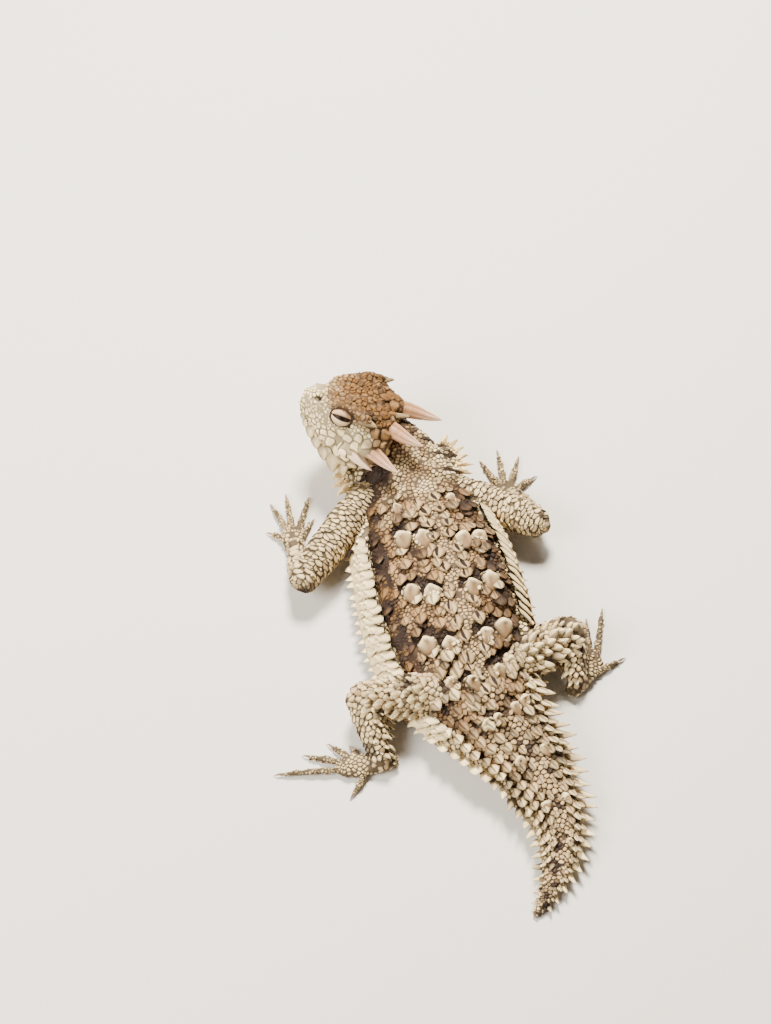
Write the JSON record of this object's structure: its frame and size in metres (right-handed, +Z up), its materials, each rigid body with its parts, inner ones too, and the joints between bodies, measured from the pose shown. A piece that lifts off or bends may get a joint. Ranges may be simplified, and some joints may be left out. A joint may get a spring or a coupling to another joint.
{
  "type": "horned lizard",
  "caption": "Life-size horned lizard resting flat on its belly and tail, its head raised and turned to its left, with horned head, fringed sides and spiny tail.",
  "frame": {"origin": "on the floor, in the middle of the flat of the belly", "axes": "+Z up; +Y forwards along the trunk towards the head; +X to the animal's right"},
  "size_m": [0.0874, 0.1409, 0.0284],
  "materials": {
    "sand_skin": "dry matt scales",
    "horn": "smooth horn with lengthwise streaks",
    "eye": "wet"
  },
  "bodies": {
    "root": {"neck": "sand_skin", "torso": "sand_skin", "tail_root": "sand_skin", "tail_middle": "sand_skin", "tail_tip": "sand_skin", "head": "sand_skin", "left_upper_arm": "sand_skin", "left_forearm": "sand_skin", "left_hand": "sand_skin", "left_thigh": "sand_skin", "left_shin": "sand_skin", "left_foot": "sand_skin", "right_upper_arm": "sand_skin", "right_forearm": "sand_skin", "right_hand": "sand_skin", "right_thigh": "sand_skin", "right_shin": "sand_skin", "right_foot": "sand_skin", "horn_occipital_left": "horn", "horn_occipital_right": "horn", "horn_temporal_left": "horn", "horn_temporal_right": "horn", "horn_cheek_left": "horn", "horn_cheek_right": "horn", "eye_left": "eye", "eye_right": "eye"}
  },
  "joints": []
}
